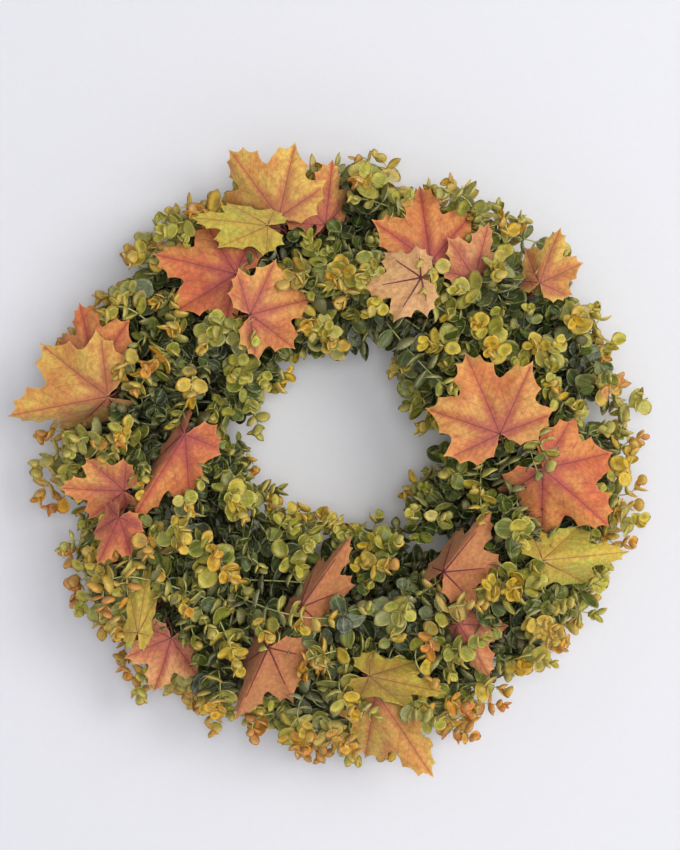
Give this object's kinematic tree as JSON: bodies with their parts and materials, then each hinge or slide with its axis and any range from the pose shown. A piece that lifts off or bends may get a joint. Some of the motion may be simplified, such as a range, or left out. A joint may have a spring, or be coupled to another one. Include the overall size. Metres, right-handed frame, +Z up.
{
  "type": "harvest door wreath",
  "caption": "Round artificial wreath for a door: eucalyptus sprays and autumn maple leaves on a wire ring frame, hung by a wire loop.",
  "frame": {"origin": "the point where a door hook bears, at the top inside the eye of the hanging loop", "axes": "+Z up; -Y the way the wreath faces, away from the door; +X to the viewer's right"},
  "size_m": [0.6453, 0.1588, 0.6389],
  "materials": {
    "frame_wire": "dark green lacquered steel wire",
    "loop_wire": "bright galvanised wire",
    "binding_wire": "green lacquered florist's wire",
    "maple_stem": "maroon moulded plastic over wire",
    "maple_cloth": "printed polyester leaf cloth, orange and yellow with purple-red veins",
    "eucalyptus": "moulded soft plastic leaves, green to golden orange at the tips"
  },
  "bodies": {
    "hanging_loop": {"hanging_loop": "loop_wire"},
    "wreath": {"back_inner_ring": "frame_wire", "back_outer_ring": "frame_wire", "binding_ties": "binding_wire", "cross_bars": "frame_wire", "front_inner_ring": "frame_wire", "front_outer_ring": "frame_wire", "front_spray_01": "eucalyptus", "front_spray_02": "eucalyptus", "front_spray_03": "eucalyptus", "front_spray_04": "eucalyptus", "front_spray_05": "eucalyptus", "front_spray_06": "eucalyptus", "front_spray_07": "eucalyptus", "front_spray_08": "eucalyptus", "inner_spray_01": "eucalyptus", "inner_spray_02": "eucalyptus", "inner_spray_03": "eucalyptus", "inner_spray_04": "eucalyptus", "inner_spray_05": "eucalyptus", "inner_spray_06": "eucalyptus", "inner_spray_07": "eucalyptus", "maple_leaf_bottom_large": "maple_cloth", "maple_leaf_bottom_left_inner": "maple_cloth", "maple_leaf_bottom_left_outer": "maple_cloth", "maple_leaf_bottom_yellow": "maple_cloth", "maple_leaf_left_bottom": "maple_cloth", "maple_leaf_left_inner": "maple_cloth", "maple_leaf_left_large": "maple_cloth", "maple_leaf_left_lower": "maple_cloth", "maple_leaf_left_red": "maple_cloth", "maple_leaf_lower_left_pink": "maple_cloth", "maple_leaf_lower_left_yellow": "maple_cloth", "maple_leaf_lower_right_inner": "maple_cloth", "maple_leaf_lower_right_outer": "maple_cloth", "maple_leaf_right_front": "maple_cloth", "maple_leaf_right_large": "maple_cloth", "maple_leaf_right_yellow": "maple_cloth", "maple_leaf_top_edge": "maple_cloth", "maple_leaf_top_left_front": "maple_cloth", "maple_leaf_top_left_orange": "maple_cloth", "maple_leaf_top_left_upright": "maple_cloth", "maple_leaf_top_left_yellow": "maple_cloth", "maple_leaf_top_right_orange": "maple_cloth", "maple_leaf_top_right_pink": "maple_cloth", "maple_leaf_top_right_tan": "maple_cloth", "maple_leaf_top_right_yellow": "maple_cloth", "maple_pick_stems": "maple_stem", "outer_spray_01": "eucalyptus", "outer_spray_02": "eucalyptus", "outer_spray_03": "eucalyptus", "outer_spray_04": "eucalyptus", "outer_spray_05": "eucalyptus", "outer_spray_06": "eucalyptus", "outer_spray_07": "eucalyptus", "outer_spray_08": "eucalyptus", "outer_spray_09": "eucalyptus", "outer_spray_10": "eucalyptus", "outer_spray_11": "eucalyptus", "outer_spray_12": "eucalyptus"}
  },
  "joints": [
    {"name": "wreath_swing", "type": "hinge", "parent": "hanging_loop", "child": "wreath", "pos_m": [0, 0, -0.0365], "axis": [-1, 0, 0], "range_deg": [0, 8]}
  ]
}
